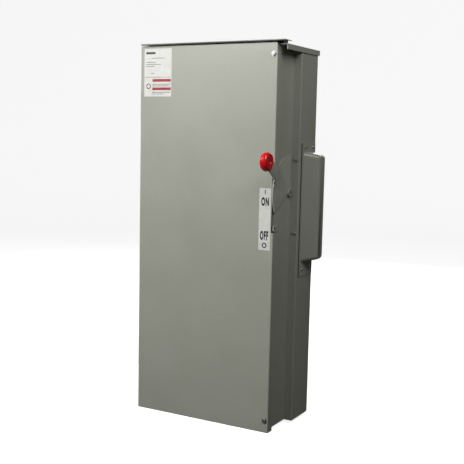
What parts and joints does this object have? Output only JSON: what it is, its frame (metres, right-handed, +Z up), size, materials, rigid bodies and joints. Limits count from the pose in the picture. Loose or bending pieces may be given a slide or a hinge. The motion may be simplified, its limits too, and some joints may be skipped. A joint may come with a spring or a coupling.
{
  "type": "safety disconnect switch",
  "caption": "Wall-mounted steel disconnect box with a hinged pan door, side handle with red knob, rain hood and a fused blade switch inside.",
  "frame": {"origin": "centre of the four wall fixing holes, on the wall plane", "axes": "+X to the right of someone facing the door, +Y into the wall, +Z up"},
  "size_m": [0.536, 0.335, 1.1264],
  "materials": {
    "case_paint": "light grey powder coat, satin",
    "lever_paint": "grey enamel, satin",
    "zinc_steel": "bright zinc plate",
    "spring_steel": "oiled spring wire",
    "red_plastic": "moulded, glossy",
    "label_film": "printed vinyl",
    "dark_moulding": "glass-filled polyester",
    "fibre_board": "vulcanised fibre",
    "grey_moulding": "glass-filled polyester",
    "plated_copper": "tin-flashed copper",
    "lug_aluminium": "machined",
    "fuse_tube": "melamine glass tube with metal caps",
    "clear_plastic": "clear polycarbonate"
  },
  "bodies": {
    "enclosure": {"enclosure_body": "case_paint", "top_endwall": "case_paint", "bottom_endwall": "case_paint", "knockout_slugs": "case_paint", "rain_hood": "case_paint", "hub_plate": "case_paint", "hub_plate_screws": "zinc_steel", "side_cover": "case_paint", "side_cover_screws": "zinc_steel", "ledge_rivets": "zinc_steel", "padlock_ear": "case_paint", "hinge_leaves": "case_paint", "hinge_pins": "zinc_steel", "mech_frame": "zinc_steel", "rotor_bearing": "zinc_steel", "toggle_spring": "spring_steel", "mounting_pan": "zinc_steel", "pan_bolts": "zinc_steel", "line_base": "dark_moulding", "load_base": "dark_moulding", "fuse_clips": "plated_copper", "line_lugs": "lug_aluminium", "load_lugs": "lug_aluminium", "lug_screws": "zinc_steel", "phase_barriers": "fibre_board", "line_shield": "clear_plastic", "neutral_base": "dark_moulding", "neutral_bar": "lug_aluminium", "ground_bar": "lug_aluminium", "line_jaw_1": "plated_copper", "load_jaw_1": "plated_copper", "fuse_1": "fuse_tube", "arc_chute_1": "grey_moulding", "line_jaw_2": "plated_copper", "load_jaw_2": "plated_copper", "fuse_2": "fuse_tube", "arc_chute_2": "grey_moulding", "line_jaw_3": "plated_copper", "load_jaw_3": "plated_copper", "fuse_3": "fuse_tube", "arc_chute_3": "grey_moulding"},
    "door": {"door": "case_paint", "door_hinge_leaves": "case_paint", "door_catch": "zinc_steel", "nameplate": "label_film", "on_off_label": "label_film"},
    "top_screw": {"door_screw_top": "zinc_steel"},
    "bottom_screw": {"door_screw_bottom": "zinc_steel"},
    "handle": {"lever": "lever_paint", "knob": "red_plastic", "crank_pin": "zinc_steel", "handle_shaft": "zinc_steel", "drive_crank": "zinc_steel"},
    "link": {"drive_link": "zinc_steel"},
    "rotor": {"rotor_bar": "dark_moulding", "rotor_crank": "zinc_steel", "blade_1": "plated_copper", "blade_2": "plated_copper", "blade_3": "plated_copper"},
    "interlock": {"interlock_lever": "zinc_steel"}
  },
  "joints": [
    {"name": "door_hinge", "type": "hinge", "parent": "enclosure", "child": "door", "pos_m": [-0.248, -0.1995, 0], "axis": [0, 0, -1], "range_deg": [0, 110]},
    {"name": "door_screw_top_turn", "type": "hinge", "parent": "door", "child": "top_screw", "pos_m": [0.2058, -0.2315, 0.526], "axis": [0, -1, 0], "range_deg": [0, 360]},
    {"name": "door_screw_bottom_turn", "type": "hinge", "parent": "door", "child": "bottom_screw", "pos_m": [0.2058, -0.2315, -0.525], "axis": [0, -1, 0], "range_deg": [0, 360]},
    {"name": "handle_pivot", "type": "hinge", "parent": "enclosure", "child": "handle", "pos_m": [0.21, -0.1315, 0.137], "axis": [1, 0, 0], "range_deg": [0, 62]},
    {"name": "link_pivot", "type": "hinge", "parent": "handle", "child": "link", "pos_m": [0.2057, -0.1039, 0.13231], "axis": [1, 0, 0], "range_deg": [-62, 0]},
    {"name": "rotor_turn", "type": "hinge", "parent": "enclosure", "child": "rotor", "pos_m": [0, -0.095, 0.06], "axis": [1, 0, 0], "range_deg": [0, 62], "deforming": ["toggle_spring"]},
    {"name": "interlock_pivot", "type": "hinge", "parent": "enclosure", "child": "interlock", "pos_m": [0.1843, -0.16, 0.2], "axis": [1, 0, 0], "range_deg": [0, 12]}
  ],
  "couplings": [
    {"joint": "rotor_turn", "follows": "handle_pivot", "ratio": 1},
    {"joint": "link_pivot", "follows": "handle_pivot", "ratio": -1}
  ]
}
